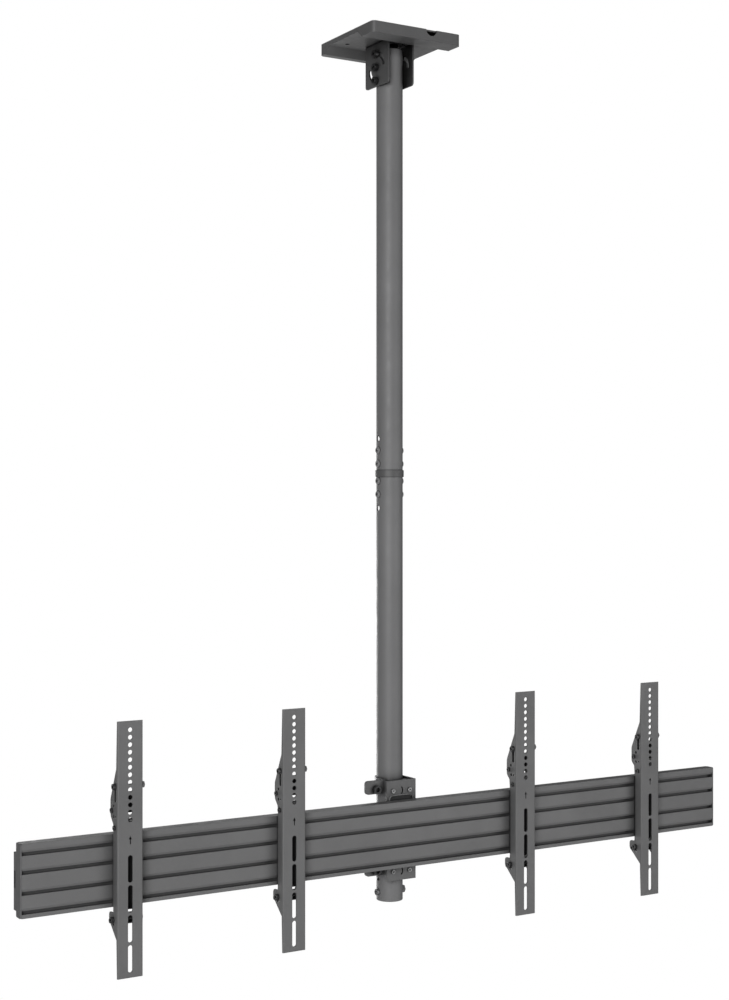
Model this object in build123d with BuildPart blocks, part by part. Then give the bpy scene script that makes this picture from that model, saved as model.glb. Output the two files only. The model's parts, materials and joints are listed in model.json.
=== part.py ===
from build123d import *
import os

os.makedirs("parts", exist_ok=True)

# Ceiling mount for two screens: a pressed plate, a tilting yoke, a two-piece pole, a clamp,
# a slotted rail and four display arms. Millimetres. Z = 0 is the ceiling, X runs along the
# rail, and the screens face -Y. The pole stands on the Z axis.

# Clearances
running = 0.05
loose = 0.3

# Ceiling plate, a shallow pressed pan with its open side up
plate_x = 192.0
plate_y = 196.0
plate_depth = 21.0
plate_sheet = 2.5
plate_corner = 8.0
channel_depth = 9.0
channel_front = -45.0
channel_back = 61.0
front_slope = 12.0
back_slope = 22.0
ceiling_hole_x = 140.0
ceiling_hole_y = 76.0
ceiling_hole_diameter = 8.5
backplate_sheet = 3.0
backplate_gap = 0.2
cable_hole_diameter = 38.0
notch_radius = 11.5
notch_x = 31.0

# Pole
pole_diameter = 50.0
pole_wall = 2.5
pole_drop = 1626.5
pole_joint_drop = 821.0
pole_rim = 1.0
cable_slot_length = 47.0
cable_slot_width = 16.0
cable_slot_drop = 286.0
through_hole_diameter = 11.0
spare_hole_diameter = 7.0
spare_hole_rise = 40.5
stop_rise = 16.5

# Yoke, a folded U on the plate that the pole tilts in
yoke_sheet = 3.0
yoke_width = 82.0
yoke_drop = 82.0
yoke_corner = 6.0
pivot_drop = 46.8
tilt_radius = 25.0
tilt_angle = 80.0
tilt_bolt_radius = 4.0
tilt_head_radius = 7.0
tilt_head_height = 8.0
tilt_nut_height = 6.5
pole_above_pivot = 33.8
yoke_bolt_y = 60.0
yoke_bolt_x = 30.0
yoke_nut_height = 2.6

# Coupling inside the pole joint
collar_height = 13.2
collar_diameter = 54.0
spigot_wall = 3.0
coupling_screw_rises = (43.7, 18.4, -14.0, -39.3)
spare_rises = (66.4, -65.6)
spare_angle = 120.0
spigot_half_length = 55.0
coupling_screw_radius = 4.0

# Rail
rail_length = 1500.0
rail_height = 121.8
rail_thickness = 20.4
rail_front = -73.4
rail_rise = 136.0
rail_wall = 2.5
band_height = 95.0
band_drop = 4.0
band_depth = 11.3
groove_rises = (44.0, 13.5, -20.5, -51.5)
groove_opening = 5.4
groove_lip = 3.0
groove_cavity = 11.0
groove_depth = 7.0
groove_bevel = 4.5
groove_bevel_depth = 2.4
rear_opening = 8.6
rear_cavity = 16.0
rear_cavity_depth = 6.0
cap_thickness = 2.5

# Clamp that carries the rail on the pole
clamp_sheet = 3.0
clamp_plate_half = 32.0
clamp_above_rail = 95.5
clamp_plate_height = 187.0
strap_height = 25.0
strap_drops = (24.0, 176.0)
ear_length = 38.0
ear_corner = 6.0
ear_bolt_x = -48.5
ear_bolt_rises = (8.5, 9.0)
ear_bolt_radius = 5.0
ear_head_radius = 8.0
ear_head_height = 8.0
saddle_half = 24.5
saddle_height = 21.5
saddle_reach = 24.0
saddle_screw_spacing = 36.0
saddle_screw_rises = (4.6, 6.0)
saddle_screw_radius = 2.5
hook_height = 14.0
hook_overhang = 3.5
level_slot_radius = 9.0
level_slot_width = 2.6
level_slot_x = -6.0
window_width = 50.0
window_height = 15.0
window_corner = 7.0
window_drop = 36.5
rail_bolt_spacing = 34.0
rail_bolt_radius = 4.0

# Display arms
arm_places = (-568.5, -258.0, 247.0, 557.5)
arm_width = 46.0
arm_sheet = 2.5
arm_front = -98.2
arm_above_rail = 251.7
arm_length = 428.0
arm_bend = 3.0
arm_hole_diameter = 8.0
arm_hole_pitch = 12.5
arm_hole_count = 13
arm_hole_inset = 14.9
arm_slot_count = 4
arm_slot_pitch = 50.0
arm_slot_length = 45.5
arm_slot_width = 8.3
arm_slot_inset = 31.4
arrow_inset = 192.0
arrow_length = 13.5
arrow_width = 5.6
arrow_shaft = 1.8
edge_flange = 2.6
mid_flange = 18.5
lobe_reach = 30.5
lobe_top_rise = 119.5
lobe_bottom_rise = 91.5
lobe_taper_rise = 172.5
lobe_corner = 9.0
lug_reach = 36.5
lug_top_drop = 69.5
lug_tip_drop = 84.5
lug_foot_drop = 112.0
lug_corner = 6.0

# Hangers between rail and arms; places are (behind the arm's front, above the rail's middle)
hanger_sheet = 2.5
hanger_web = 3.0
hanger_front_gap = 0.5
hanger_top_rise = 152.5
hanger_bottom_drop = 97.5
hanger_shoulder_rise = 67.5
hanger_heel_drop = 67.5
hanger_overlap = 1.9
arm_bolt_radius = 3.0
arm_bolt_head = 5.0
arm_bolt_head_height = 5.0
upper_bolt_place = (9.7, 142.5)
lower_bolt_place = (18.2, -80.5)
height_travel = 7.0
tee_bolt_radius = 2.5
tee_length = 14.0
upper_slot_drop = 23.0
sight_hole_places = ((16.7, 110.0), (16.2, 91.8))
sight_hole_radius = 2.7
pilot_hole_places = ((8.5, 92.5),)
pilot_hole_radius = 1.6
lock_screw_places = ((23.2, 101.0), (11.2, 73.5), (27.2, -84.0))
lock_screw_radius = 2.5
lock_head_radius = 4.0
lock_head_height = 3.0

# Worked out from the sizes above
pole_bottom = -pole_drop
pole_joint = -pole_joint_drop
cable_slot_z = pole_joint - cable_slot_drop
spare_hole_z = pole_bottom + spare_hole_rise
stop_z = pole_bottom + stop_rise
coupling_screw_heights = [pole_joint + rise for rise in coupling_screw_rises]
spare_heights = [pole_joint + rise for rise in spare_rises]
rail_z = pole_bottom + rail_rise
band_z = rail_z - band_drop
clamp_plate_top = rail_z + clamp_above_rail
clamp_plate_bottom = clamp_plate_top - clamp_plate_height
strap_bottoms = [clamp_plate_top - drop for drop in strap_drops]
ear_bolt_heights = [bottom + rise for bottom, rise in zip(strap_bottoms, ear_bolt_rises)]
saddle_screw_heights = [bottom + rise for bottom, rise in zip(strap_bottoms, saddle_screw_rises)]
window_z = clamp_plate_top - window_drop
arm_top = rail_z + arm_above_rail
lobe_top = rail_z + lobe_top_rise
lobe_bottom = rail_z + lobe_bottom_rise
lobe_taper_top = rail_z + lobe_taper_rise
lug_top = rail_z - lug_top_drop
lug_tip = rail_z - lug_tip_drop
lug_foot = rail_z - lug_foot_drop
hanger_top = rail_z + hanger_top_rise
hanger_bottom = rail_z - hanger_bottom_drop
hanger_shoulder = rail_z + hanger_shoulder_rise
hanger_heel = rail_z - hanger_heel_drop
hanger_back = rail_front + hanger_overlap
pole_radius = pole_diameter / 2
pole_bore = pole_radius - pole_wall
yoke_inner = pole_radius + loose
yoke_outer = yoke_inner + yoke_sheet
web_top = -channel_depth
pivot_z = web_top - pivot_drop
pole_top = pivot_z + pole_above_pivot
rail_top = rail_z + rail_height / 2
rail_bottom = rail_z - rail_height / 2
rail_back = rail_front + rail_thickness
band_back = rail_back + band_depth
strap_inner = pole_radius + running
strap_outer = strap_inner + clamp_sheet
plate_back = band_back + clamp_sheet
ear_back = -pole_radius - 2.0
ear_front = ear_back - clamp_sheet
ear_tip = -clamp_plate_half - ear_length
arm_bottom = arm_top - arm_length
arm_half = arm_width / 2
arm_inner = arm_half - arm_sheet
hanger_half = arm_inner - loose
hanger_front = arm_front + arm_sheet + hanger_front_gap
hanger_seat = rail_front - loose
upper_bolt, lower_bolt = [
    (arm_front + inset, rail_z + rise) for inset, rise in (upper_bolt_place, lower_bolt_place)
]
sight_holes = [(arm_front + inset, rail_z + rise) for inset, rise in sight_hole_places]
pilot_holes = [(arm_front + inset, rail_z + rise) for inset, rise in pilot_hole_places]
lock_screws = [(arm_front + inset, rail_z + rise) for inset, rise in lock_screw_places]
web_front = hanger_seat - hanger_web


def cylinders(spots, start, radius, length):
    """Add a round bar at each spot, from the start distance along the spot's normal."""
    for spot in spots:
        with BuildSketch(spot.offset(start)) as mark:
            Circle(radius)
        extrude(mark.sketch, amount=length)


def hexagons(spots, start, flats, length):
    """Add a hexagon bar at each spot, from the start distance along the spot's normal."""
    for spot in spots:
        with BuildSketch(spot.offset(start)) as mark:
            RegularPolygon(flats / 2, 6, major_radius=False)
        extrude(mark.sketch, amount=length)


def bores(spots, start, radius, length):
    """Cut a round hole at each spot, from the start distance along the spot's normal."""
    for spot in spots:
        with BuildSketch(spot.offset(start)) as mark:
            Circle(radius)
        extrude(mark.sketch, amount=length, mode=Mode.SUBTRACT)


def hex_sockets(spots, start, flats, depth):
    """Cut a hexagon socket into the head at each spot, down against its normal."""
    for spot in spots:
        with BuildSketch(spot.offset(start)) as mark:
            RegularPolygon(flats / 2, 6, major_radius=False)
        extrude(mark.sketch, amount=-depth, mode=Mode.SUBTRACT)


def finish(piece, name):
    """Label the piece and write its file."""
    piece.part.label = name
    export_step(piece.part, f"parts/{name}.step")


def side_plane(x, y, z):
    """Plane at a point, facing -X."""
    return Plane(origin=(x, y, z), x_dir=(0, -1, 0), z_dir=(-1, 0, 0))


def front_plane(x, y, z):
    """Plane at a point, facing -Y."""
    return Plane(origin=(x, y, z), x_dir=(1, 0, 0), z_dir=(0, -1, 0))


def down_plane(x, y, z):
    """Plane at a point, facing down."""
    return Plane(origin=(x, y, z), x_dir=(1, 0, 0), z_dir=(0, 0, -1))


# Ceiling plate: the pan's end profile runs along X, then it is hollowed from above
half_y = plate_y / 2
with BuildPart() as ceiling_plate:
    with BuildSketch(Plane.YZ):
        with BuildLine():
            Polyline(
                (-half_y, 0),
                (-half_y, -plate_depth),
                (channel_front - front_slope, -plate_depth),
                (channel_front, -channel_depth),
                (channel_back, -channel_depth),
                (channel_back + back_slope, -plate_depth),
                (half_y, -plate_depth),
                (half_y, 0),
                close=True,
            )
        make_face()
    extrude(amount=plate_x / 2, both=True)
    upright = ceiling_plate.edges().filter_by(Axis.Z)
    fillet(upright.group_by(SortBy.LENGTH)[-1], radius=plate_corner)
    open_side = ceiling_plate.faces().sort_by(Axis.Z)[-1]
    offset(amount=-plate_sheet, openings=open_side)
    # Cable notch in the front wall and the cable hole in the middle
    bores([front_plane(notch_x, -half_y, 0)], 1, notch_radius, -2 * plate_sheet)
    bores([down_plane(0, 0, 0)], 0, cable_hole_diameter / 2, 2 * plate_depth)
    # Screw holes to the ceiling and holes for the yoke's bolts
    with BuildSketch(Plane.XY):
        with GridLocations(ceiling_hole_x, ceiling_hole_y, 2, 2):
            Circle(ceiling_hole_diameter / 2)
        with GridLocations(yoke_bolt_x, yoke_bolt_y, 2, 2):
            Circle(3 + running)
    extrude(amount=-2 * plate_depth, mode=Mode.SUBTRACT)
finish(ceiling_plate, "ceiling_plate")

# Backplate: a flat sheet inside the pan, against the ceiling
with BuildPart() as ceiling_backplate:
    inner_x = plate_x - 2 * plate_sheet - 2 * backplate_gap
    inner_y = plate_y - 2 * plate_sheet - 2 * backplate_gap
    with BuildSketch(Plane.XY):
        RectangleRounded(inner_x, inner_y, plate_corner - plate_sheet)
        with GridLocations(ceiling_hole_x, ceiling_hole_y, 2, 2):
            Circle(ceiling_hole_diameter / 2, mode=Mode.SUBTRACT)
    extrude(amount=-backplate_sheet)
finish(ceiling_backplate, "ceiling_backplate")

# Yoke: a folded U whose two cheeks hold the pole
cheek_bottom = web_top - yoke_drop
with BuildPart() as ceiling_yoke:
    with BuildSketch(Plane.XZ):
        with BuildLine():
            Polyline(
                (-yoke_outer, web_top),
                (yoke_outer, web_top),
                (yoke_outer, cheek_bottom),
                (yoke_inner, cheek_bottom),
                (yoke_inner, web_top - yoke_sheet),
                (-yoke_inner, web_top - yoke_sheet),
                (-yoke_inner, cheek_bottom),
                (-yoke_outer, cheek_bottom),
                close=True,
            )
        make_face()
    extrude(amount=yoke_width / 2, both=True)
    folds = ceiling_yoke.edges().filter_by(Axis.Y).group_by(Axis.Z)[-1]
    fillet(folds, radius=yoke_sheet)
    corners = ceiling_yoke.edges().filter_by(Axis.X).group_by(Axis.Z)[0]
    fillet(corners, radius=yoke_corner)
    # Pivot hole, and the two arc slots that the tilt bolts travel in
    with BuildSketch(side_plane(-yoke_outer - 1, 0, pivot_z)):
        Circle(tilt_bolt_radius + running)
        for end in (90, 270):
            travel = Edge.make_circle(tilt_radius, start_angle=end - tilt_angle, end_angle=end)
            SlotArc(travel, 2 * tilt_bolt_radius + 2 * loose)
    extrude(amount=-2 * yoke_outer - 2, mode=Mode.SUBTRACT)
    bores([down_plane(0, 0, 0)], 0, cable_hole_diameter / 2, channel_depth + 2 * yoke_sheet)
    with BuildSketch(Plane.XY):
        with GridLocations(yoke_bolt_x, yoke_bolt_y, 2, 2):
            Circle(3 + running)
    extrude(amount=-channel_depth - 2 * yoke_sheet, mode=Mode.SUBTRACT)
finish(ceiling_yoke, "ceiling_yoke")

# Bolts and nuts that hold the yoke to the plate
yoke_spots = [
    down_plane(x * yoke_bolt_x / 2, y * yoke_bolt_y / 2, web_top - yoke_sheet)
    for x in (-1, 1)
    for y in (-1, 1)
]
floor_stack = yoke_sheet + plate_sheet
with BuildPart() as yoke_bolts:
    cylinders(yoke_spots, 0, 5.5, 3.5)
    yoke_bolt_length = floor_stack + yoke_nut_height + 0.4
    cylinders(yoke_spots, -yoke_bolt_length, 3.0, yoke_bolt_length)
    hex_sockets(yoke_spots, 3.5, 4.0, 2.0)
finish(yoke_bolts, "yoke_bolts")
with BuildPart() as yoke_nuts:
    hexagons(yoke_spots, -floor_stack - yoke_nut_height, 10.0, yoke_nut_height)
    bores(yoke_spots, -floor_stack - yoke_nut_height - 1, 3.0 + running, yoke_nut_height + 2)
finish(yoke_nuts, "yoke_nuts")

# Pivot bolt and the two tilt bolts, along X through yoke and pole
def cross_bolts(name, heights):
    """Bolts along X through the yoke, with their nuts, at the given heights."""
    spots = [side_plane(0, 0, height) for height in heights]
    with BuildPart() as bolts:
        seat = yoke_outer + running
        cylinders(spots, seat, tilt_head_radius, tilt_head_height)
        shank_start = -seat - tilt_nut_height - 1.5
        cylinders(spots, shank_start, tilt_bolt_radius, seat - shank_start)
        hex_sockets(spots, seat + tilt_head_height, 6.0, 4.0)
    finish(bolts, name)
    with BuildPart() as nuts:
        nut_start = -seat - tilt_nut_height
        hexagons(spots, nut_start, 13.0, tilt_nut_height)
        bores(spots, nut_start - 1, tilt_bolt_radius + running, tilt_nut_height + 2)
    finish(nuts, name.replace("bolt", "nut"))


cross_bolts("pivot_bolt", [pivot_z])
cross_bolts("tilt_bolts", [pivot_z + tilt_radius, pivot_z - tilt_radius])

# Pole: two tubes that meet at the coupling's collar
upper_end = pole_joint + collar_height / 2
lower_start = pole_joint - collar_height / 2


def turned_plane(angle, z):
    """Plane on the pole's axis that faces outwards at the angle from +X."""
    facing = Vector(1, 0, 0).rotate(Axis.Z, angle)
    return Plane(origin=(0, 0, z), x_dir=(0, 0, -1), z_dir=facing)


with BuildPart() as pole_upper:
    with BuildSketch(Plane.XY.offset(upper_end)):
        Circle(pole_radius)
        Circle(pole_bore, mode=Mode.SUBTRACT)
    extrude(amount=pole_top - upper_end)
    upper_holes = [side_plane(0, 0, h) for h in coupling_screw_heights if h > pole_joint]
    bores(upper_holes, -pole_diameter, coupling_screw_radius + running, 2 * pole_diameter)
    bores([side_plane(0, 0, spare_heights[0])], -pole_diameter, through_hole_diameter / 2, 2 * pole_diameter)
    bores([turned_plane(spare_angle, spare_heights[0])], 0, through_hole_diameter / 2, pole_diameter)
    tilt_holes = [side_plane(0, 0, pivot_z + step) for step in (0, tilt_radius, -tilt_radius)]
    bores(tilt_holes, -pole_diameter, tilt_bolt_radius + running, 2 * pole_diameter)
finish(pole_upper, "pole_upper")

with BuildPart() as pole_lower:
    with BuildSketch(Plane.XY.offset(pole_bottom)):
        Circle(pole_radius)
        Circle(pole_bore, mode=Mode.SUBTRACT)
    extrude(amount=lower_start - pole_bottom)
    fillet(pole_lower.edges().group_by(Axis.Z)[0].sort_by(SortBy.LENGTH)[-1], radius=pole_rim)
    lower_holes = [side_plane(0, 0, h) for h in coupling_screw_heights if h < pole_joint]
    bores(lower_holes, -pole_diameter, coupling_screw_radius + running, 2 * pole_diameter)
    bores([side_plane(0, 0, spare_heights[1])], -pole_diameter, through_hole_diameter / 2, 2 * pole_diameter)
    bores([turned_plane(spare_angle, spare_heights[1])], 0, through_hole_diameter / 2, pole_diameter)
    bores([side_plane(0, 0, spare_hole_z)], -pole_diameter, spare_hole_diameter / 2, 2 * pole_diameter)
    bores([side_plane(0, 0, stop_z)], -pole_diameter, 4.0 + running, 2 * pole_diameter)
    # Cable slot in one wall of the tube, turned to the back left
    slot_plane = Plane(origin=(0, 0, cable_slot_z), x_dir=(0.6, 0.8, 0), z_dir=(-0.8, 0.6, 0))
    with BuildSketch(slot_plane):
        SlotOverall(cable_slot_length, cable_slot_width, rotation=90)
    extrude(amount=pole_diameter, mode=Mode.SUBTRACT)
finish(pole_lower, "pole_lower")

spigot_radius = pole_bore - running
with BuildPart() as pole_coupling:
    with BuildSketch(Plane.XY.offset(pole_joint - spigot_half_length)):
        Circle(spigot_radius)
    extrude(amount=2 * spigot_half_length)
    with BuildSketch(Plane.XY.offset(lower_start)):
        Circle(collar_diameter / 2)
    extrude(amount=collar_height)
    rims = pole_coupling.edges().filter_by(GeomType.CIRCLE)
    fillet([rim for rim in rims if rim.radius > pole_radius], radius=1.0)
    with BuildSketch(Plane.XY.offset(pole_joint - spigot_half_length)):
        Circle(spigot_radius - spigot_wall)
    extrude(amount=2 * spigot_half_length, mode=Mode.SUBTRACT)
    threaded = [side_plane(0, 0, h) for h in coupling_screw_heights]
    bores(threaded, -pole_diameter, coupling_screw_radius + running, 2 * pole_diameter)
finish(pole_coupling, "pole_coupling")

# Coupling screws, from both sides of the pole
right_planes = [
    Plane(origin=(0, 0, h), x_dir=(0, 1, 0), z_dir=(1, 0, 0))
    for h in coupling_screw_heights
]
both_sides = threaded + right_planes
screw_reach = pole_radius - spigot_radius + spigot_wall + 1.0
with BuildPart() as coupling_screws:
    cylinders(both_sides, pole_radius, 6.75, 3.2)
    heads = coupling_screws.edges().filter_by(GeomType.CIRCLE)
    outer_rims = [rim for rim in heads if abs(rim.center().X) > pole_radius + 3]
    fillet(outer_rims, radius=2.0)
    cylinders(both_sides, pole_radius - screw_reach, coupling_screw_radius, screw_reach)
    hex_sockets(both_sides, pole_radius + 3.2, 4.5, 2.0)
finish(coupling_screws, "coupling_screws")

# Stop bolt under the clamp
stop_spot = [side_plane(0, 0, stop_z)]
with BuildPart() as stop_bolt:
    cylinders(stop_spot, pole_radius, 5.7, 5.0)
    cylinders(stop_spot, -pole_radius - 7.5, 4.0, pole_diameter + 7.5)
    hex_sockets(stop_spot, pole_radius + 5.0, 6.0, 3.0)
finish(stop_bolt, "stop_bolt")
with BuildPart() as stop_nut:
    hexagons(stop_spot, -pole_radius - 6.5, 13.0, 6.5)
    bores(stop_spot, -pole_radius - 7.5, 4.0 + running, 8.5)
finish(stop_nut, "stop_nut")

# Rail: one extrusion with four bolt grooves in front and one behind
lip_back = rail_front + groove_lip
cavity_back = lip_back + groove_depth
half_rail = rail_length / 2 - cap_thickness
void_front = cavity_back + rail_wall
void_back = rail_back - rail_wall
rear_lip = band_back - rail_wall
rear_floor = rear_lip - rear_cavity_depth
half_opening = groove_opening / 2
half_cavity = groove_cavity / 2
with BuildPart() as rail:
    with BuildSketch(Plane.YZ.offset(-half_rail)):
        with Locations(((rail_front + rail_back) / 2, rail_z)):
            Rectangle(rail_thickness, rail_height)
        with Locations((rail_back + band_depth / 2, band_z)):
            Rectangle(band_depth, band_height)
        for rise in groove_rises:
            centre = rail_z + rise
            with BuildLine():
                Polyline(
                    (rail_front - 1, centre - half_opening),
                    (lip_back, centre - half_opening),
                    (lip_back, centre - half_cavity),
                    (cavity_back, centre - half_cavity),
                    (cavity_back, centre + half_cavity),
                    (lip_back, centre + half_cavity),
                    (lip_back, centre + half_opening),
                    (rail_front + groove_bevel_depth, centre + half_opening),
                    (rail_front, centre + half_opening + groove_bevel),
                    (rail_front - 1, centre + half_opening + groove_bevel),
                    close=True,
                )
            make_face(mode=Mode.SUBTRACT)
        # Bolt groove in the back band
        with Locations(((rear_floor + rear_lip) / 2, rail_z)):
            Rectangle(rear_lip - rear_floor, rear_cavity, mode=Mode.SUBTRACT)
        with Locations((band_back, rail_z)):
            Rectangle(4 * rail_wall, rear_opening, mode=Mode.SUBTRACT)
        # Closed hollows behind the front grooves and in the band
        hollow_tops = (rail_top - rail_wall, rail_z + rear_cavity / 2 + 2 * rail_wall)
        hollow_height = hollow_tops[0] - hollow_tops[1] - rail_wall
        hollow_rise = (hollow_tops[0] + hollow_tops[1] + rail_wall) / 2 - rail_z
        with Locations(
            ((void_front + void_back) / 2, rail_z + hollow_rise),
            ((void_front + void_back) / 2, rail_z - hollow_rise),
        ):
            Rectangle(void_back - void_front, hollow_height, mode=Mode.SUBTRACT)
        band_span = (band_z - band_height / 2 + rail_wall, band_z + band_height / 2 - rail_wall)
        groove_half = rear_cavity / 2 + rail_wall
        for low, high in ((band_span[0], rail_z - groove_half), (rail_z + groove_half, band_span[1])):
            with Locations((rail_back + (band_depth - rail_wall) / 2, (low + high) / 2)):
                Rectangle(band_depth - rail_wall, high - low, mode=Mode.SUBTRACT)
    extrude(amount=2 * half_rail)
finish(rail, "rail")

# End caps: the rail's outline with rounded back corners
for side, name in ((-1, "end_cap_left"), (1, "end_cap_right")):
    with BuildPart() as cap:
        with BuildSketch(Plane.YZ.offset(side * half_rail)):
            with Locations(((rail_front + rail_back) / 2, rail_z)):
                Rectangle(rail_thickness, rail_height)
            with Locations((rail_back + band_depth / 2, band_z)):
                Rectangle(band_depth, band_height)
        extrude(amount=side * cap_thickness)
        long_edges = cap.edges().filter_by(Axis.X)
        outer_edges = [edge for edge in long_edges if abs(abs(edge.center().Z - rail_z) - rail_height / 2) < 0.1]
        fillet(outer_edges, radius=3.0)
    finish(cap, name)

# Clamp plate: a folded plate behind the rail, with ears at the left and hook slots at the right
with BuildPart() as clamp_plate:
    with BuildSketch(Plane.XZ.offset(-band_back)):
        with Locations((0, (clamp_plate_top + clamp_plate_bottom) / 2)):
            Rectangle(2 * clamp_plate_half, clamp_plate_top - clamp_plate_bottom)
    extrude(amount=-clamp_sheet)
    for bottom in strap_bottoms:
        web_height = min(bottom + strap_height, clamp_plate_top) - bottom
        with BuildSketch(Plane.XY.offset(bottom)):
            with BuildLine():
                Polyline(
                    (-clamp_plate_half, band_back),
                    (-clamp_plate_half + clamp_sheet, band_back),
                    (-clamp_plate_half + clamp_sheet, ear_back),
                    (-clamp_plate_half, ear_back),
                    close=True,
                )
            make_face()
            with BuildLine():
                Polyline(
                    (clamp_plate_half - clamp_sheet, band_back),
                    (clamp_plate_half, band_back),
                    (clamp_plate_half, -pole_radius / 2),
                    (clamp_plate_half - clamp_sheet, -pole_radius / 2),
                    close=True,
                )
            make_face()
        extrude(amount=web_height)
        with BuildSketch(Plane.XZ.offset(-ear_front)):
            with Locations((-clamp_plate_half + clamp_sheet, bottom + strap_height / 2)):
                Rectangle(ear_length + clamp_sheet, strap_height, align=(Align.MAX, Align.CENTER))
        extrude(amount=-clamp_sheet)
    tip_edges = clamp_plate.edges().filter_by(Axis.Y).group_by(Axis.X)[0]
    fillet(tip_edges, radius=ear_corner)
    # Ear bolt holes, saddle screw holes, curved level slots and rail bolt holes
    ear_spots = [front_plane(ear_bolt_x, ear_front, height) for height in ear_bolt_heights]
    bores(ear_spots, 1, ear_bolt_radius + running, -2 * clamp_sheet)
    with BuildSketch(Plane.XZ.offset(-band_back + 1)):
        for height in saddle_screw_heights:
            for x in (-saddle_screw_spacing / 2, saddle_screw_spacing / 2):
                with Locations((x, height)):
                    Circle(saddle_screw_radius + running)
            with Locations((level_slot_x, height)):
                bend = Edge.make_circle(level_slot_radius, start_angle=-40, end_angle=40)
                SlotArc(bend, level_slot_width)
        with Locations((0, window_z)):
            RectangleRounded(window_width, window_height, window_corner)
        for x in (-rail_bolt_spacing / 2, rail_bolt_spacing / 2):
            with Locations((x, rail_z)):
                Circle(rail_bolt_radius + running)
    extrude(amount=-clamp_sheet - 2, mode=Mode.SUBTRACT)
    # Hook slots in the right webs
    hook_front = ear_back + clamp_sheet
    with BuildSketch(side_plane(clamp_plate_half + 1, 0, 0)):
        for bottom in strap_bottoms:
            with Locations((-(hook_front + clamp_sheet / 2), bottom + saddle_height / 2)):
                Rectangle(clamp_sheet + 2 * loose, hook_height + 2 * loose)
    extrude(amount=clamp_sheet + 2, mode=Mode.SUBTRACT)
finish(clamp_plate, "clamp_plate")

# Straps round the back of the pole: ear at the left, T hook at the right
strap_names = ("clamp_strap_upper", "clamp_strap_lower")
for bottom, bolt_height, name in zip(strap_bottoms, ear_bolt_heights, strap_names):
    with BuildPart() as strap:
        with BuildSketch(Plane.XY.offset(bottom)):
            with BuildLine():
                outer_left = Line((-strap_outer, ear_back + clamp_sheet), (-strap_outer, 0))
                outer_arc = CenterArc((0, 0), strap_outer, 180, -180)
                outer_right = Line((strap_outer, 0), (strap_outer, hook_front))
                Polyline((strap_outer, hook_front), (strap_inner, hook_front), (strap_inner, 0))
                inner_arc = CenterArc((0, 0), strap_inner, 0, 180)
                Polyline(
                    (-strap_inner, 0),
                    (-strap_inner, ear_back),
                    (ear_tip, ear_back),
                    (ear_tip, ear_back + clamp_sheet),
                    (-strap_outer, ear_back + clamp_sheet),
                )
            make_face()
        extrude(amount=strap_height)
        # The T hook reaches through its slot and stands taller behind the web
        hook_z = bottom + saddle_height / 2
        with BuildSketch(Plane.XZ.offset(-hook_front)):
            with Locations((strap_inner, hook_z)):
                Rectangle(
                    clamp_plate_half + 1 + clamp_sheet - strap_inner,
                    hook_height,
                    align=(Align.MIN, Align.CENTER),
                )
            with Locations((clamp_plate_half + loose, hook_z)):
                Rectangle(clamp_sheet + 1, hook_height + 2 * hook_overhang, align=(Align.MIN, Align.CENTER))
        extrude(amount=-clamp_sheet)
        tips = strap.edges().filter_by(Axis.Y).group_by(Axis.X)[0]
        fillet(tips, radius=ear_corner)
        bores(
            [front_plane(ear_bolt_x, ear_back, bolt_height)],
            1,
            ear_bolt_radius + running,
            -2 * clamp_sheet,
        )
    finish(strap, name)

# Saddles between plate and pole, hollowed to the pole's curve
with BuildPart() as pole_saddles:
    for bottom in strap_bottoms:
        with BuildSketch(Plane.XY.offset(bottom)):
            with Locations((0, plate_back)):
                Rectangle(2 * saddle_half, saddle_reach, align=(Align.CENTER, Align.MIN))
            Circle(strap_inner, mode=Mode.SUBTRACT)
        extrude(amount=saddle_height)
    saddle_spots = [
        front_plane(x, band_back, height)
        for height in saddle_screw_heights
        for x in (-saddle_screw_spacing / 2, saddle_screw_spacing / 2)
    ]
    bores(saddle_spots, 1, saddle_screw_radius + running, -12.0)
finish(pole_saddles, "pole_saddles")

with BuildPart() as saddle_screws:
    cylinders(saddle_spots, 0, 4.0, 2.8)
    cylinders(saddle_spots, -10.0, saddle_screw_radius, 10.0)
    hex_sockets(saddle_spots, 2.8, 3.0, 1.6)
finish(saddle_screws, "saddle_screws")

# Ear bolts and nuts that draw plate and straps together
with BuildPart() as ear_bolts:
    cylinders(ear_spots, 0, ear_head_radius, ear_head_height)
    cylinders(ear_spots, -2 * clamp_sheet - 9.5, ear_bolt_radius, 2 * clamp_sheet + 9.5)
    hex_sockets(ear_spots, ear_head_height, 8.0, 5.0)
finish(ear_bolts, "ear_bolts")
with BuildPart() as ear_nuts:
    hexagons(ear_spots, -2 * clamp_sheet - 8.0, 16.0, 8.0)
    bores(ear_spots, -2 * clamp_sheet - 9.0, ear_bolt_radius + running, 10.0)
finish(ear_nuts, "ear_nuts")

# Bolts with T heads in the rail's back groove, and their nuts on the clamp plate
rail_spots = [front_plane(x, band_back, rail_z) for x in (-rail_bolt_spacing / 2, rail_bolt_spacing / 2)]
with BuildPart() as rail_bolts:
    for spot in rail_spots:
        with BuildSketch(spot.offset(rail_wall)):
            Rectangle(14.0, rear_cavity - 2 * loose)
        extrude(amount=4.0)
    cylinders(rail_spots, -clamp_sheet - 6.0, rail_bolt_radius, clamp_sheet + 6.0 + rail_wall)
finish(rail_bolts, "rail_bolts")
with BuildPart() as rail_nuts:
    hexagons(rail_spots, -clamp_sheet - 5.0, 12.0, 5.0)
    bores(rail_spots, -clamp_sheet - 6.0, rail_bolt_radius + running, 7.0)
finish(rail_nuts, "rail_nuts")


def corner_points(sketch, corners):
    """The sketch's vertices that lie at the given corners."""
    return [
        point
        for point in sketch.vertices()
        if any((Vector(point.X, point.Y) - Vector(*corner)).length < 0.01 for corner in corners)
    ]


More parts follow.
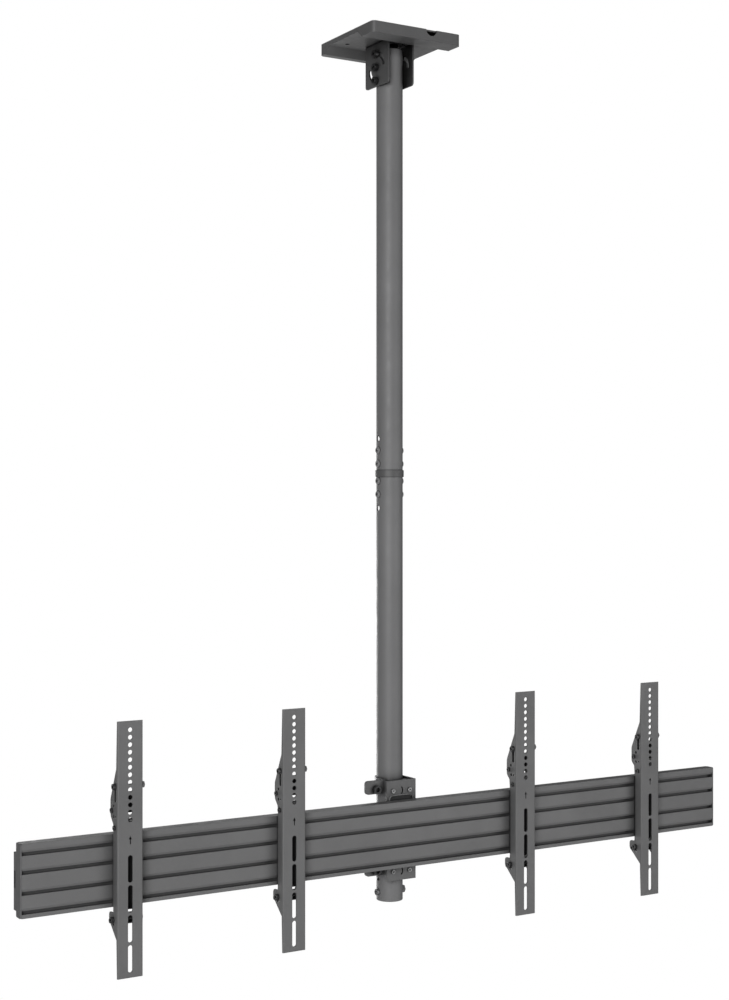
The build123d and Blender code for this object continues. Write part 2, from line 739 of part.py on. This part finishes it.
def side_cut(plane, spots, radius):
    """Holes along X at the given places, through both flanges."""
    with BuildSketch(plane) as mark:
        for y, z in spots:
            with Locations((-y, z)):
                Circle(radius)
    extrude(mark.sketch, amount=-arm_width - 2, mode=Mode.SUBTRACT)


def make_channel(number, x):
    """The arm that the screen hangs on: front strip, two flanges, lobe above, lug below."""
    lobe_edge = arm_front + lobe_reach
    mid_edge = arm_front + mid_flange
    tip_edge = arm_front + lug_reach
    thin_edge = arm_front + edge_flange
    lobe_corners = ((lobe_edge, lobe_top), (lobe_edge, lobe_bottom))
    lug_corners = ((tip_edge, lug_top), (tip_edge, lug_tip))
    with BuildPart() as channel:
        with BuildSketch(Plane.YZ.offset(x - arm_half)) as side:
            with BuildLine():
                Polyline(
                    (arm_front, arm_top),
                    (thin_edge, arm_top),
                    (arm_front + 2.2 * edge_flange, lobe_taper_top),
                    (lobe_edge, lobe_top),
                    (lobe_edge, lobe_bottom),
                    (mid_edge, lobe_bottom - 13.0),
                    (mid_edge, lug_top),
                    (tip_edge, lug_top),
                    (tip_edge, lug_tip),
                    (arm_front + 1.8 * edge_flange, lug_foot),
                    (thin_edge, arm_bottom),
                    (arm_front, arm_bottom),
                    close=True,
                )
            make_face()
            fillet(corner_points(side.sketch_local, lobe_corners), radius=lobe_corner)
            fillet(corner_points(side.sketch_local, lug_corners), radius=lug_corner)
        extrude(amount=arm_width)
        bends = channel.edges().filter_by(Axis.Z).group_by(Axis.Y)[0]
        fillet(bends, radius=arm_bend)
        with BuildSketch(Plane.XY.offset(arm_bottom)):
            with Locations((x, arm_front + arm_sheet)):
                RectangleRounded(2 * arm_inner, 4 * arm_width, 1.0, align=(Align.CENTER, Align.MIN))
        extrude(amount=arm_length, mode=Mode.SUBTRACT)
        # Screen holes and slots in the front strip
        with BuildSketch(Plane.XZ.offset(-arm_front + 1)):
            for index in range(arm_hole_count):
                with Locations((x, arm_top - arm_hole_inset - index * arm_hole_pitch)):
                    Circle(arm_hole_diameter / 2)
            for index in range(arm_slot_count):
                with Locations((x, arm_bottom + arm_slot_inset + index * arm_slot_pitch)):
                    SlotOverall(arm_slot_length, arm_slot_width, rotation=90)
        extrude(amount=-arm_sheet - 2, mode=Mode.SUBTRACT)
        # Arrow that points to the arm's upper end
        arrow_top = arm_top - arrow_inset
        with BuildSketch(Plane.XZ.offset(-arm_front)):
            with BuildLine():
                Polyline(
                    (x, arrow_top),
                    (x + arrow_width / 2, arrow_top - arrow_width),
                    (x - arrow_width / 2, arrow_top - arrow_width),
                    close=True,
                )
            make_face()
            with Locations((x, arrow_top - arrow_length)):
                Rectangle(arrow_shaft, arrow_length - arrow_width + 0.5, align=(Align.CENTER, Align.MIN))
        extrude(amount=-2 * arm_sheet, mode=Mode.SUBTRACT)
        # Height slots for the cross bolts
        side_face = side_plane(x - arm_half - 1, 0, 0)
        for (y, z), drop in ((upper_bolt, upper_slot_drop), (lower_bolt, height_travel)):
            with BuildSketch(side_face):
                with Locations((-y, z - drop / 2)):
                    SlotCenterToCenter(drop, 2 * arm_bolt_radius + 2 * loose, rotation=90)
            extrude(amount=-arm_width - 2, mode=Mode.SUBTRACT)
        side_cut(side_face, sight_holes, sight_hole_radius)
        side_cut(side_face, pilot_holes, pilot_hole_radius)
        # Threaded holes for the lock screws, in the left flange only
        lock_spots = [side_plane(x - arm_half, y, z) for y, z in lock_screws]
        bores(lock_spots, 1, lock_screw_radius + running, -arm_sheet - 2)
    finish(channel, f"arm_{number}_channel")


def make_hanger(number, x):
    """The folded bracket between rail and arm."""
    with BuildPart() as hanger:
        with BuildSketch(Plane.YZ.offset(x - hanger_half)):
            with BuildLine():
                Polyline(
                    (hanger_front, hanger_top),
                    (hanger_front + 12.0, hanger_top),
                    (hanger_back, lobe_top),
                    (hanger_back, lobe_bottom),
                    (hanger_seat, hanger_shoulder),
                    (hanger_seat, hanger_heel),
                    (hanger_back, hanger_heel - 5.0),
                    (hanger_back, lug_tip),
                    (hanger_front + 8.0, hanger_bottom),
                    (hanger_front, hanger_bottom),
                    close=True,
                )
            make_face()
        extrude(amount=2 * hanger_half)
        inner = hanger_half - hanger_sheet
        with BuildSketch(Plane.XY.offset(hanger_bottom)):
            with Locations((x, web_front)):
                Rectangle(2 * inner, 4 * arm_width, align=(Align.CENTER, Align.MAX))
        extrude(amount=hanger_top - hanger_bottom, mode=Mode.SUBTRACT)
        for low, high in ((hanger_bottom, hanger_heel), (hanger_shoulder, hanger_top)):
            with BuildSketch(Plane.XY.offset(low)):
                with Locations((x, web_front)):
                    Rectangle(2 * inner, 4 * arm_width)
            extrude(amount=high - low, mode=Mode.SUBTRACT)
        # Folded-in webs behind the lobe and the lug
        with BuildSketch(Plane.YZ.offset(x - hanger_half)):
            with BuildLine():
                Polyline(
                    (hanger_back - 3.9, lobe_top + 11.0),
                    (hanger_back, lobe_top),
                    (hanger_back, lobe_bottom + 3.0),
                    (hanger_back - hanger_sheet, lobe_bottom + 3.0),
                    (hanger_back - hanger_sheet, lobe_top + 0.5),
                    (hanger_back - 3.9 - hanger_sheet, lobe_top + 10.2),
                    close=True,
                )
            make_face()
            with BuildLine():
                Polyline(
                    (hanger_back, hanger_heel - 5.0),
                    (hanger_back, lug_tip),
                    (hanger_back - 7.2, lug_tip - 6.0),
                    (hanger_back - 8.8, lug_tip - 4.0),
                    (hanger_back - hanger_sheet, lug_tip + 1.2),
                    (hanger_back - hanger_sheet, hanger_heel - 5.0),
                    close=True,
                )
            make_face()
        extrude(amount=2 * hanger_half)
        side_face = side_plane(x - arm_half - 1, 0, 0)
        side_cut(side_face, (upper_bolt, lower_bolt), arm_bolt_radius + running)
        side_cut(side_face, sight_holes, sight_hole_radius)
        web_spots = [front_plane(x, web_front, rail_z + rise) for rise in groove_rises[1:3]]
        bores(web_spots, 1, tee_bolt_radius + running, -hanger_web - 2)
    finish(hanger, f"arm_{number}_hanger")


def make_arm_fasteners(number, x):
    """Cross bolts and nuts, rail bolts and nuts, and lock screws of one arm."""
    cross_spots = [side_plane(x, y, z) for y, z in (upper_bolt, lower_bolt)]
    with BuildPart() as bolts:
        head_seat = arm_half + 2 * running
        cylinders(cross_spots, head_seat, arm_bolt_head, arm_bolt_head_height)
        cylinders(cross_spots, -head_seat - 6.0, arm_bolt_radius, 2 * head_seat + 6.0)
        hex_sockets(cross_spots, head_seat + arm_bolt_head_height, 4.0, 2.5)
    finish(bolts, f"arm_{number}_bolts")
    with BuildPart() as nuts:
        hexagons(cross_spots, -head_seat - 5.0, 10.0, 5.0)
        bores(cross_spots, -head_seat - 7.0, arm_bolt_radius + running, 9.0)
    finish(nuts, f"arm_{number}_nuts")
    web_spots = [front_plane(x, rail_front, rail_z + rise) for rise in groove_rises[1:3]]
    tee_back = -groove_lip - loose - 4.0
    with BuildPart() as rail_tees:
        for spot in web_spots:
            with BuildSketch(spot.offset(tee_back)):
                Rectangle(tee_length, groove_cavity - 2 * loose)
            extrude(amount=4.0)
        stem = loose + hanger_web + 5.5 - tee_back
        cylinders(web_spots, tee_back, tee_bolt_radius, stem)
    finish(rail_tees, f"arm_{number}_tee_bolts")
    with BuildPart() as tee_nuts:
        hexagons(web_spots, loose + hanger_web, 8.0, 4.0)
        bores(web_spots, loose + hanger_web - 1, tee_bolt_radius + running, 6.0)
    finish(tee_nuts, f"arm_{number}_tee_nuts")
    lock_spots = [side_plane(x - arm_half, y, z) for y, z in lock_screws]
    with BuildPart() as locks:
        cylinders(lock_spots, 0, lock_head_radius, lock_head_height)
        cylinders(lock_spots, -arm_sheet, lock_screw_radius, arm_sheet)
        hex_sockets(lock_spots, lock_head_height, 3.0, 1.8)
    finish(locks, f"arm_{number}_lock_screws")


for number, place in enumerate(arm_places, start=1):
    make_channel(number, place)
    make_hanger(number, place)
    make_arm_fasteners(number, place)
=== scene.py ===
import json
import math

import bpy
from mathutils import Matrix, Vector


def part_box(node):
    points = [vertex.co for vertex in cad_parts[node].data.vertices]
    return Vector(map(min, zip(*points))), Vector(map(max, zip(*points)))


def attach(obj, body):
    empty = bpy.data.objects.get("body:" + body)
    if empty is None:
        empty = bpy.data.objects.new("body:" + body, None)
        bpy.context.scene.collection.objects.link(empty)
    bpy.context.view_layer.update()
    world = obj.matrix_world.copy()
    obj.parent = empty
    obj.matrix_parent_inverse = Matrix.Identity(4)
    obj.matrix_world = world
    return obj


# Ceiling mount for two screens. The CAD nodes keep their shapes and get their materials here.
# A few small pieces, the floor, the lamps and the camera are added. All lengths are in metres.

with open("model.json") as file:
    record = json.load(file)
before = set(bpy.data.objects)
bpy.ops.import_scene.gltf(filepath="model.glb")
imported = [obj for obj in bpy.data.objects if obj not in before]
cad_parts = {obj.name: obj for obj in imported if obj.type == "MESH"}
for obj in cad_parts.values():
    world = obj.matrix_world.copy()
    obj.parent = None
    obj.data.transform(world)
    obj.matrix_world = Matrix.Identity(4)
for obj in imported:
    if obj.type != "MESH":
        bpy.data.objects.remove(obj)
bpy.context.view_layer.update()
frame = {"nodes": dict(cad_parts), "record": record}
scene = bpy.context.scene
arm_numbers = (1, 2, 3, 4)


# Node helpers

bevel_samples = 6
crevice_samples = 12
white = (1.0, 1.0, 1.0, 1.0)


def link(tree, source, target):
    tree.links.new(source, target)


def add(tree, kind, **values):
    """A node of that kind, with its properties set by name."""
    node = tree.nodes.new(kind)
    for key, value in values.items():
        setattr(node, key, value)
    return node


def noise(tree, place, scale, detail, rough=0.5):
    """The grey output of a noise texture, with its scale in cells per metre."""
    node = add(tree, "ShaderNodeTexNoise")
    node.inputs["Scale"].default_value = scale
    node.inputs["Detail"].default_value = detail
    node.inputs["Roughness"].default_value = rough
    link(tree, place, node.inputs["Vector"])
    return node.outputs["Fac"]


def spread(tree, value, low, high, from_low=0.3, from_high=0.7):
    """The value, moved from one range to another. Noise lies mostly between 0.3 and 0.7."""
    node = add(tree, "ShaderNodeMapRange")
    node.inputs["From Min"].default_value = from_low
    node.inputs["From Max"].default_value = from_high
    node.inputs["To Min"].default_value = low
    node.inputs["To Max"].default_value = high
    link(tree, value, node.inputs["Value"])
    return node.outputs["Result"]


def mix(tree, factor, one, two):
    """Colour one where the factor is 0, and colour two where it is 1."""
    node = add(tree, "ShaderNodeMix", data_type="RGBA")
    link(tree, factor, node.inputs["Factor"])
    for socket, colour in ((node.inputs["A"], one), (node.inputs["B"], two)):
        if isinstance(colour, tuple):
            socket.default_value = (*colour, 1.0)
        else:
            link(tree, colour, socket)
    return node.outputs["Result"]


def times(tree, mask, factor):
    """The mask multiplied by a number or by another node's value."""
    node = add(tree, "ShaderNodeMath", operation="MULTIPLY")
    link(tree, mask, node.inputs[0])
    if isinstance(factor, float):
        node.inputs[1].default_value = factor
    else:
        link(tree, factor, node.inputs[1])
    return node.outputs["Value"]


def rounded_normal(tree, radius):
    """The surface's normal, with sharp edges rounded off by the radius."""
    node = add(tree, "ShaderNodeBevel", samples=bevel_samples)
    node.inputs["Radius"].default_value = radius
    return node.outputs["Normal"]


def edge_mask(tree, radius):
    """How far the surface turns within the radius: 0 on flats and towards 1 on edges."""
    likeness = add(tree, "ShaderNodeVectorMath", operation="DOT_PRODUCT")
    link(tree, rounded_normal(tree, radius), likeness.inputs[0])
    link(tree, add(tree, "ShaderNodeNewGeometry").outputs["Normal"], likeness.inputs[1])
    return spread(tree, likeness.outputs["Value"], 1.0, 0.0, from_low=0.80, from_high=0.995)


def painted_shade_mask(tree, reach, closed=0.25, clear=0.85):
    """How closed in the surface is within the reach, a mask for painted shade: 0 in the open and
    towards 1 in grooves.
    """
    node = add(tree, "ShaderNodeAmbientOcclusion", samples=crevice_samples)
    node.inputs["Distance"].default_value = reach
    return spread(tree, node.outputs["AO"], 1.0, 0.0, from_low=closed, from_high=clear)


def grain_normal(tree, place, scale, strength, height, edge_radius):
    """The surface's normal, with its edges rounded off and fine grain on it."""
    bump = add(tree, "ShaderNodeBump")
    bump.inputs["Strength"].default_value = strength
    bump.inputs["Distance"].default_value = height
    link(tree, noise(tree, place, scale, detail=2.0), bump.inputs["Height"])
    link(tree, rounded_normal(tree, edge_radius), bump.inputs["Normal"])
    return bump.outputs["Normal"]


def shade(colour, factor):
    """The colour made darker or lighter by the factor."""
    return tuple(min(1.0, part * factor) for part in colour)


def new_material(name):
    """A material, its node tree, its shader and the surface's place in object space."""
    material = bpy.data.materials.new(name)
    material.use_nodes = True
    tree = material.node_tree
    place = add(tree, "ShaderNodeTexCoord").outputs["Object"]
    return material, tree, tree.nodes["Principled BSDF"], place


# Kinds of material


def powder_coat(
    name, colour, rough, grain=1400.0, cloud=0.10, edge_dark=0.55, edge=0.0007,
    groove=0.010, shelter=0.035, dim=0.35, closed=0.25, clear=0.85,
):
    """Fine-textured coat on metal: grain, soft clouds, uneven gloss, darker edges, and painted
    shade in grooves and hollows.

    grain is the scale of the texture, cloud is how far the clouds leave the colour, and wear is
    how much the edges darken within the radius edge. Painted shade turns hollows nearly black
    within the reach groove. Within the wider reach shelter, painted shade turns them to dim
    times the colour, which starts where the surface is less open than clear and is full where it
    is as closed in as closed.
    """
    fleck_colour = shade(colour, 1.25)
    edge_colour = shade(colour, 0.3)
    # The two colours of painted shade: for sheltered places and for the darkest hollows
    shelter_shade_colour = shade(colour, dim)
    groove_shade_colour = shade(colour, 0.10)
    material, tree, shader, place = new_material(name)

    clouds = spread(tree, noise(tree, place, scale=9.0, detail=4.0), 0.0, 1.0)
    base = mix(tree, clouds, shade(colour, 1.0 - cloud), shade(colour, 1.0 + cloud))
    fleck_noise = noise(tree, place, scale=0.6 * grain, detail=2.0)
    flecks = spread(tree, fleck_noise, 0.0, 0.5, from_low=0.55, from_high=0.8)
    base = mix(tree, flecks, base, fleck_colour)
    patches = spread(tree, noise(tree, place, scale=140.0, detail=4.0), 0.25 * edge_dark, edge_dark)
    base = mix(tree, times(tree, edge_mask(tree, edge), patches), base, edge_colour)
    # Painted shade: within the reach shelter hollows darken to dim times the colour, and within
    # the reach groove nearly to black
    base = mix(tree, painted_shade_mask(tree, shelter, closed, clear), base, shelter_shade_colour)
    base = mix(tree, painted_shade_mask(tree, groove), base, groove_shade_colour)
    link(tree, base, shader.inputs["Base Color"])

    gloss_noise = noise(tree, place, scale=45.0, detail=5.0, rough=0.6)
    gloss = spread(tree, gloss_noise, rough - 0.07, rough + 0.08)
    link(tree, gloss, shader.inputs["Roughness"])
    normal = grain_normal(
        tree, place, scale=grain, strength=0.6, height=0.00006, edge_radius=0.0006
    )
    link(tree, normal, shader.inputs["Normal"])
    shader.inputs["Specular IOR Level"].default_value = 0.42
    return material


def black_oxide(name, colour, rough=0.38):
    """Blackened steel of bolts and nuts: satin, with fine grain, rubbed, brighter edges and
    painted shade in its recesses.
    """
    edge_colour = shade(colour, 2.5)
    recess_shade_colour = shade(colour, 0.2)
    material, tree, shader, place = new_material(name)

    clouds = spread(tree, noise(tree, place, scale=260.0, detail=4.0), 0.0, 1.0)
    base = mix(tree, clouds, shade(colour, 0.8), shade(colour, 1.3))
    rubbed = times(tree, edge_mask(tree, radius=0.0005), 0.5)
    base = mix(tree, rubbed, base, edge_colour)
    # Painted shade: recesses within 5 mm darken to a fifth of the colour
    base = mix(tree, painted_shade_mask(tree, reach=0.005), base, recess_shade_colour)
    link(tree, base, shader.inputs["Base Color"])

    gloss_noise = noise(tree, place, scale=500.0, detail=3.0)
    gloss = spread(tree, gloss_noise, rough - 0.08, rough + 0.1)
    link(tree, gloss, shader.inputs["Roughness"])
    shader.inputs["Metallic"].default_value = 0.6
    normal = grain_normal(
        tree, place, scale=2400.0, strength=0.4, height=0.00003, edge_radius=0.0004
    )
    link(tree, normal, shader.inputs["Normal"])
    return material


# Materials for the nodes

# Every coat has painted shade in its hollows. On the plate and the yoke it reaches further and
# is darker, so the plate round the yoke and the yoke's inner faces read as shaded.
plate_coat = powder_coat(
    "plate_coat", (0.098, 0.098, 0.099), 0.5, shelter=0.10, dim=0.15, closed=0.45, clear=0.97
)
yoke_coat = powder_coat("yoke_coat", (0.080, 0.080, 0.081), 0.48, shelter=0.10, dim=0.05)
pole_coat = powder_coat("pole_coat", (0.152, 0.152, 0.154), 0.52, cloud=0.06)
clamp_coat = powder_coat("clamp_coat", (0.108, 0.108, 0.109), 0.48)
rail_coat = powder_coat(
    "rail_coat", (0.132, 0.132, 0.133), 0.46, cloud=0.06, groove=0.0045, shelter=0.05
)
arm_coat = powder_coat("arm_coat", (0.126, 0.126, 0.127), 0.48, cloud=0.07, shelter=0.06)
hanger_coat = powder_coat("hanger_coat", (0.040, 0.040, 0.041), 0.5, shelter=0.06)
cap_plastic = powder_coat(
    "cap_plastic", (0.110, 0.110, 0.112), 0.55, grain=2200.0, edge_dark=0.1
)
collar_coat = powder_coat("collar_coat", (0.088, 0.088, 0.089), 0.5, cloud=0.08)
button_coat = powder_coat(
    "button_coat", (0.190, 0.190, 0.192), 0.42,
    grain=2600.0, cloud=0.05, edge_dark=1.6, edge=0.0014, groove=0.003,
)
# Lighter coat of the clamp pocket's lip: a painted highlight
lip_highlight_coat = powder_coat("lip_highlight_coat", (0.190, 0.190, 0.192), 0.45, edge_dark=0.1)
bolt_black = black_oxide("bolt_black", (0.030, 0.030, 0.031))
bolt_grey = black_oxide("bolt_grey", (0.180, 0.180, 0.182), 0.42)
bolt_mid = black_oxide("bolt_mid", (0.060, 0.060, 0.061), 0.40)
screw_bright = black_oxide("screw_bright", (0.200, 0.200, 0.202), 0.34)

# The look of each material slot, and of the nodes that differ from their slot's
looks = {
    "dark_steel": plate_coat,
    "pole_paint": pole_coat,
    "black_bolts": bolt_black,
    "clamp_paint": clamp_coat,
    "rail_paint": rail_coat,
    "arm_paint": arm_coat,
    "hanger_paint": hanger_coat,
    "cap_plastic": cap_plastic,
}
own_looks = {
    "ceiling_yoke": yoke_coat,
    "pole_coupling": collar_coat,
    "coupling_screws": button_coat,
    "stop_bolt": bolt_grey,
    "stop_nut": bolt_grey,
    "saddle_screws": screw_bright,
}
for number in arm_numbers:
    own_looks[f"arm_{number}_nuts"] = bolt_grey
    own_looks[f"arm_{number}_bolts"] = bolt_mid
    own_looks[f"arm_{number}_lock_screws"] = bolt_mid
slots = {entry["node"]: entry["material_slot"] for entry in frame["record"]["subparts"]}
for name, node in frame["nodes"].items():
    look = own_looks.get(name, looks[slots[name]])
    if node.material_slots:
        for slot in node.material_slots:
            slot.material = look
    else:
        node.data.materials.append(look)


# Small pieces that the photograph shows and the CAD nodes leave out

corner_steps = 6
lip_steps = 8
spacer_steps = 24
# Eased edge of a tray, from its back to its front: inset and level, in parts of the depth
tray_profile = ((0.0, 0.0), (0.0, 0.7), (0.12, 0.92), (0.35, 1.0))


def add_piece(name, body, look, points, faces, smooth=True):
    """A mesh piece that rides on a body."""
    mesh = bpy.data.meshes.new(name)
    mesh.from_pydata(points, [], faces)
    mesh.materials.append(look)
    for face in mesh.polygons:
        face.use_smooth = smooth
    piece = bpy.data.objects.new(name, mesh)
    scene.collection.objects.link(piece)
    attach(piece, body)


def circle(radius, steps):
    """Points round a circle, anticlockwise from the right."""
    angles = [math.radians(360.0 * step / steps) for step in range(steps)]
    return [(radius * math.cos(angle), radius * math.sin(angle)) for angle in angles]


def rounded_outline(width, height, radius):
    """Points and outward directions round a rounded rectangle, anticlockwise from the right."""
    found = []
    for turn, (side, rise) in enumerate(((1, 1), (-1, 1), (-1, -1), (1, -1))):
        for step in range(corner_steps + 1):
            angle = math.radians(90.0 * (turn + step / corner_steps))
            out = (math.cos(angle), math.sin(angle))
            centre = (side * (width / 2 - radius), rise * (height / 2 - radius))
            found.append(((centre[0] + radius * out[0], centre[1] + radius * out[1]), out))
    return found


def skin(rings, closed_tube=False):
    """The rings' points, and faces between the rings; open ends get one face each."""
    count = len(rings[0])
    points = [point for ring in rings for point in ring]
    faces = []
    spans = len(rings) if closed_tube else len(rings) - 1
    for ring in range(spans):
        here, after = ring * count, (ring + 1) % len(rings) * count
        for step in range(count):
            beside = (step + 1) % count
            faces.append((here + step, here + beside, after + beside, after + step))
    if not closed_tube:
        faces.append(tuple(reversed(range(count))))
        faces.append(tuple(range((len(rings) - 1) * count, len(rings) * count)))
    return points, faces


def shallow_tray(name, body, look, place, size, radius, facing):
    """A thin upright rounded plate whose edges are eased; facing is its direction in X and Y."""
    width, height, depth = size
    sideways = (-facing[1], facing[0])
    rings = []
    for inset, level in tray_profile:
        shrink = 2.0 * inset * depth
        out = level * depth
        outline = rounded_outline(width - shrink, height - shrink, radius - shrink / 2)
        rings.append(
            [
                (
                    place[0] + facing[0] * out + sideways[0] * across,
                    place[1] + facing[1] * out + sideways[1] * across,
                    place[2] + up,
                )
                for (across, up), _ in outline
            ]
        )
    points, faces = skin(rings)
    add_piece(name, body, look, points, faces, smooth=False)


# Pocket of the clamp plate above the rail, closed behind, with a raised lip round it. The pocket
# is coloured near black, painted shade inside it, and the lip is coloured lighter than the
# plate, a painted highlight on its curve.
pocket_z = -1.4315
lip_y = -0.0417
shallow_tray(
    "clamp_pocket_shade",
    "carriage",
    hanger_coat,
    place=(0.0, -0.0388, pocket_z),
    size=(0.0497, 0.0147, 0.0011),
    radius=0.0068,
    facing=(0, -1),
)
# The lip's lighter coat is a painted highlight
lip_circle = circle(radius=0.0013, steps=lip_steps)
lip_outline = rounded_outline(width=0.0522, height=0.0172, radius=0.0081)
lip_rings = [
    [
        (across + out_x * swell, lip_y - lift, pocket_z + up + out_z * swell)
        for swell, lift in lip_circle
    ]
    for (across, up), (out_x, out_z) in lip_outline
]
lip_points, lip_faces = skin(lip_rings, closed_tube=True)
add_piece("clamp_lip_highlight", "carriage", lip_highlight_coat, lip_points, lip_faces)

# Dark oval sheets on the end caps, at the open ends of the rail's back groove: painted shade of
# the hollow groove ends
rail_end = 0.7500
for side, name in ((-1, "end_plug_left"), (1, "end_plug_right")):
    shallow_tray(
        name,
        "carriage",
        bolt_black,
        place=(side * rail_end, -0.0462, -1.4915),
        size=(0.0066, 0.0290, 0.0004),
        radius=0.0032,
        facing=(side, 0),
    )

# Spacer across each hanger, seen through the lowest screen hole of the arm. Its profile gives
# the distance from its middle along X and the radius there.
spacer_y, spacer_z = -0.0855, -1.4074
spacer_profile = (
    (-0.0176, 0.0036),
    (-0.0170, 0.0044),
    (-0.0060, 0.0044),
    (-0.0054, 0.0040),
    (0.0054, 0.0040),
    (0.0060, 0.0044),
    (0.0170, 0.0044),
    (0.0176, 0.0036),
)
for number in arm_numbers:
    low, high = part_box(f"arm_{number}_hanger")
    middle_x = (low[0] + high[0]) / 2
    rings = [
        [(middle_x + along, spacer_y + y, spacer_z + z) for y, z in circle(radius, spacer_steps)]
        for along, radius in spacer_profile
    ]
    points, faces = skin(rings)
    add_piece(f"arm_{number}_spacer", f"hanger_{number}", bolt_grey, points, faces)


# Floor and world

floor_half, floor_z = 30.0, -2.9
world_strength = 0.16

floor_mesh = bpy.data.meshes.new("floor")
floor_mesh.from_pydata(
    [
        (-floor_half, -floor_half, floor_z),
        (floor_half, -floor_half, floor_z),
        (floor_half, floor_half, floor_z),
        (-floor_half, floor_half, floor_z),
    ],
    [],
    [(0, 1, 2, 3)],
)
floor = bpy.data.objects.new("floor", floor_mesh)
scene.collection.objects.link(floor)


def white_to_camera(tree, shader_output, white_kind, target):
    """White for camera and transmission rays, and the shader for all other rays."""
    path = add(tree, "ShaderNodeLightPath")
    direct = add(tree, "ShaderNodeMath", operation="MAXIMUM")
    link(tree, path.outputs["Is Camera Ray"], direct.inputs[0])
    link(tree, path.outputs["Is Transmission Ray"], direct.inputs[1])
    blank = add(tree, white_kind)
    blank.inputs["Color"].default_value = white
    blank.inputs["Strength"].default_value = 1.0
    choice = add(tree, "ShaderNodeMixShader")
    link(tree, direct.outputs["Value"], choice.inputs["Fac"])
    link(tree, shader_output, choice.inputs[1])
    link(tree, blank.outputs[0], choice.inputs[2])
    link(tree, choice.outputs["Shader"], target)


floor_material = bpy.data.materials.new("floor_white")
floor_material.use_nodes = True
floor_nodes = floor_material.node_tree.nodes
floor_shader = floor_nodes["Principled BSDF"]
floor_shader.inputs["Base Color"].default_value = (0.85, 0.85, 0.85, 1.0)
floor_shader.inputs["Roughness"].default_value = 0.9
white_to_camera(
    floor_material.node_tree,
    floor_shader.outputs["BSDF"],
    "ShaderNodeEmission",
    floor_nodes["Material Output"].inputs["Surface"],
)
floor_mesh.materials.append(floor_material)

world = bpy.data.worlds.new("studio")
scene.world = world
world.use_nodes = True
world_nodes = world.node_tree.nodes
sky = world_nodes["Background"]
sky.inputs["Color"].default_value = white
sky.inputs["Strength"].default_value = world_strength
white_to_camera(
    world.node_tree,
    sky.outputs["Background"],
    "ShaderNodeBackground",
    world_nodes["World Output"].inputs["Surface"],
)


# Lamps


def lamp(name, place, target, size, watts):
    """A soft square lamp at a place, aimed at a target."""
    data = bpy.data.lights.new(name, "AREA")
    data.shape = "SQUARE"
    data.size = size
    data.energy = watts
    body = bpy.data.objects.new(name, data)
    aim = (Vector(target) - Vector(place)).to_track_quat("-Z", "Y").to_matrix().to_4x4()
    body.matrix_world = Matrix.Translation(place) @ aim
    scene.collection.objects.link(body)


middle = (0.0, 0.0, -1.0)
lamp("key", (-3.4, -3.8, -0.2), middle, size=2.0, watts=175.0)
lamp("fill", (2.6, -4.0, -1.2), middle, size=2.4, watts=48.0)
lamp("rim", (1.0, 3.2, -0.6), middle, size=2.4, watts=12.0)
lamp("rear", (-0.1, 3.6, -1.7), middle, size=1.4, watts=55.0)


# Camera of the photograph, level and with upright verticals

sensor_width = 36.0
focal_pixels, image_pixels = 1648.0, 729.0
far_clip = 200.0
camera_place = (-1.6442, -2.6532, -0.8710)
look_x, look_y = 0.5138, 0.8579

camera_data = bpy.data.cameras.new("camera")
camera_data.sensor_fit = "HORIZONTAL"
camera_data.sensor_width = sensor_width
camera_data.lens = sensor_width * focal_pixels / image_pixels
camera_data.clip_end = far_clip
camera = bpy.data.objects.new("camera", camera_data)
yaw = math.atan2(look_x, look_y)
turn = Matrix.Rotation(-yaw, 4, "Z") @ Matrix.Rotation(math.radians(90.0), 4, "X")
camera.matrix_world = Matrix.Translation(camera_place) @ turn
scene.collection.objects.link(camera)
scene.camera = camera

scene.view_settings.view_transform = "Standard"
